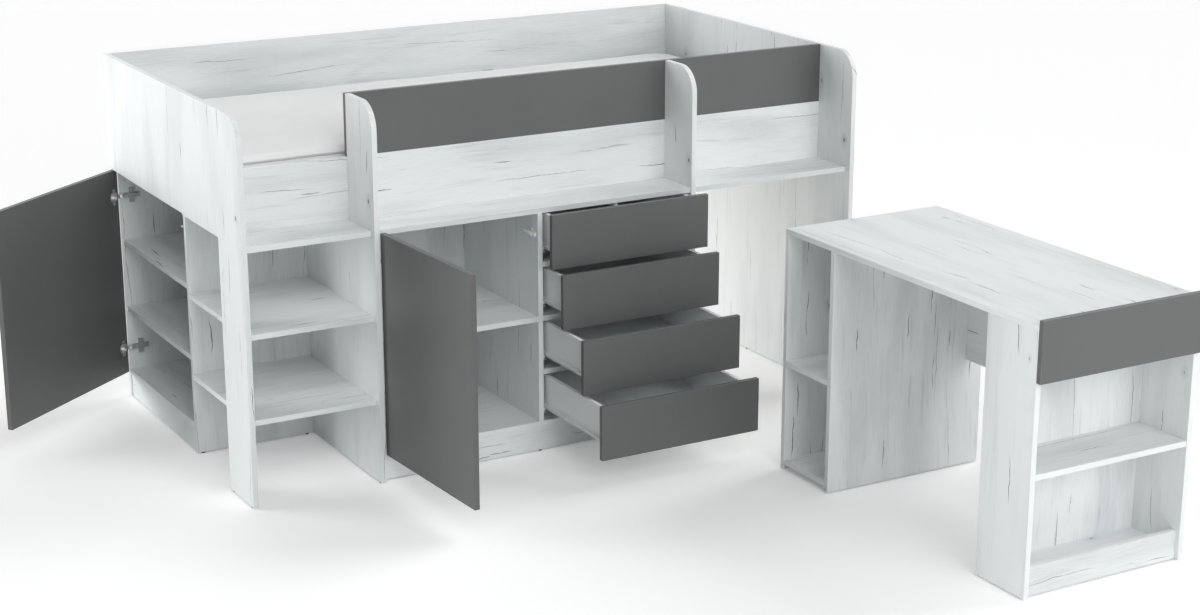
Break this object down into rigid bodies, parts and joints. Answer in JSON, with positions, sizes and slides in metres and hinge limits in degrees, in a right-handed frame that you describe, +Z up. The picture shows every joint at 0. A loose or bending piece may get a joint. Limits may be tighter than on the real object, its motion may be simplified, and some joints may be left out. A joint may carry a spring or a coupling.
{
  "type": "loft bed",
  "caption": "Mid-height loft bed in whitewashed oak and graphite with a stepped ladder bay, end cabinet, door cabinet, drawers and a pull-out desk.",
  "frame": {"origin": "middle, on the floor, of the box round the whole set as pictured, doors open and desk drawn out", "axes": "+Z up, +X along the bed from the ladder end to the desk end, +Y from the front to the rear"},
  "size_m": [2.5286, 2.725, 1.124],
  "materials": {
    "white_oak": "whitewashed oak foil with fine grey grain and small cracks",
    "graphite": "plain matt graphite coated board",
    "drawer_white": "smooth white coated board",
    "pine": "planed pine",
    "mattress_cloth": "white knitted cover",
    "glide_black": "moulded",
    "hinge_nickel": "nickel-plated pressed steel",
    "runner_white": "powder-coated steel",
    "latch_plastic": "moulded"
  },
  "bodies": {
    "bed": {"left_end_panel": "white_oak", "right_end_panel": "white_oak", "ladder_partition": "white_oak", "drawer_partition": "white_oak", "back_panel": "white_oak", "front_rail": "white_oak", "guard_rail": "graphite", "ladder_top_shelf": "white_oak", "cabinet_top_board": "white_oak", "desk_bay_shelf": "white_oak", "ladder_steps": "white_oak", "ladder_back_wall": "white_oak", "cabinet_back_panel": "white_oak", "cabinet_divider": "white_oak", "cabinet_shelf": "white_oak", "cabinet_floor": "white_oak", "cabinet_plinth": "white_oak", "drawer_cross_rails": "white_oak", "side_cabinet_rear_wall": "white_oak", "side_cabinet_ends": "white_oak", "side_cabinet_shelves": "white_oak", "side_cabinet_plinth": "white_oak", "bed_ledgers": "pine", "bed_slats": "pine", "mattress": "mattress_cloth", "floor_glides": "glide_black", "hinge_arms": "hinge_nickel", "cabinet_runners": "runner_white", "push_latch_bodies": "latch_plastic"},
    "side_door": {"side_door": "graphite", "side_hinge_cups": "hinge_nickel"},
    "front_door": {"front_door": "graphite", "front_hinge_cups": "hinge_nickel"},
    "drawer_1": {"drawer_1_front": "graphite", "drawer_1_box": "drawer_white", "drawer_1_runners": "runner_white"},
    "drawer_2": {"drawer_2_front": "graphite", "drawer_2_box": "drawer_white", "drawer_2_runners": "runner_white"},
    "drawer_3": {"drawer_3_front": "graphite", "drawer_3_box": "drawer_white", "drawer_3_runners": "runner_white"},
    "drawer_4": {"drawer_4_front": "graphite", "drawer_4_box": "drawer_white", "drawer_4_runners": "runner_white"},
    "side_latch_plunger": {"side_latch_plunger": "latch_plastic"},
    "front_latch_plunger": {"front_latch_plunger": "latch_plastic"},
    "drawer_1_plunger": {"drawer_1_plunger": "latch_plastic"},
    "drawer_2_plunger": {"drawer_2_plunger": "latch_plastic"},
    "drawer_3_plunger": {"drawer_3_plunger": "latch_plastic"},
    "drawer_4_plunger": {"drawer_4_plunger": "latch_plastic"},
    "desk": {"desk_top": "white_oak", "desk_uprights": "white_oak", "desk_shelves": "white_oak", "desk_modesty_panel": "white_oak", "desk_cabinet_back": "white_oak", "desk_cabinet_sides": "white_oak", "desk_plinth": "white_oak", "desk_front": "graphite", "desk_glides": "glide_black"}
  },
  "joints": [
    {"name": "side_door_hinge", "type": "hinge", "parent": "bed", "child": "side_door", "pos_m": [-0.7832, 1.355, 0.421], "axis": [0, 0, -1], "range_deg": [-52.5, 52.5]},
    {"name": "front_door_hinge", "type": "hinge", "parent": "bed", "child": "front_door", "pos_m": [-0.3662, 0.222, 0.4185], "axis": [0, 0, -1], "range_deg": [-87, 18]},
    {"name": "drawer_1_slide", "type": "slide", "parent": "bed", "child": "drawer_1", "axis": [0, -1, 0], "range_m": [-0.056, 0.314]},
    {"name": "drawer_2_slide", "type": "slide", "parent": "bed", "child": "drawer_2", "axis": [0, -1, 0], "range_m": [-0.122, 0.248]},
    {"name": "drawer_3_slide", "type": "slide", "parent": "bed", "child": "drawer_3", "axis": [0, -1, 0], "range_m": [-0.242, 0.128]},
    {"name": "drawer_4_slide", "type": "slide", "parent": "bed", "child": "drawer_4", "axis": [0, -1, 0], "range_m": [-0.35, 0.02]},
    {"name": "desk_slide", "type": "slide", "parent": "bed", "child": "desk", "axis": [0, 1, 0], "range_m": [0, 1.582]},
    {"name": "side_latch_push", "type": "slide", "parent": "bed", "child": "side_latch_plunger", "axis": [1, 0, 0], "range_m": [0, 0.01], "stiffness_N_per_m": 150},
    {"name": "front_latch_push", "type": "slide", "parent": "bed", "child": "front_latch_plunger", "axis": [0, 1, 0], "range_m": [0, 0.01], "stiffness_N_per_m": 150},
    {"name": "drawer_1_push", "type": "slide", "parent": "bed", "child": "drawer_1_plunger", "axis": [0, 1, 0], "range_m": [0, 0.01], "stiffness_N_per_m": 150},
    {"name": "drawer_2_push", "type": "slide", "parent": "bed", "child": "drawer_2_plunger", "axis": [0, 1, 0], "range_m": [0, 0.01], "stiffness_N_per_m": 150},
    {"name": "drawer_3_push", "type": "slide", "parent": "bed", "child": "drawer_3_plunger", "axis": [0, 1, 0], "range_m": [0, 0.01], "stiffness_N_per_m": 150},
    {"name": "drawer_4_push", "type": "slide", "parent": "bed", "child": "drawer_4_plunger", "axis": [0, 1, 0], "range_m": [0, 0.01], "stiffness_N_per_m": 150}
  ]
}
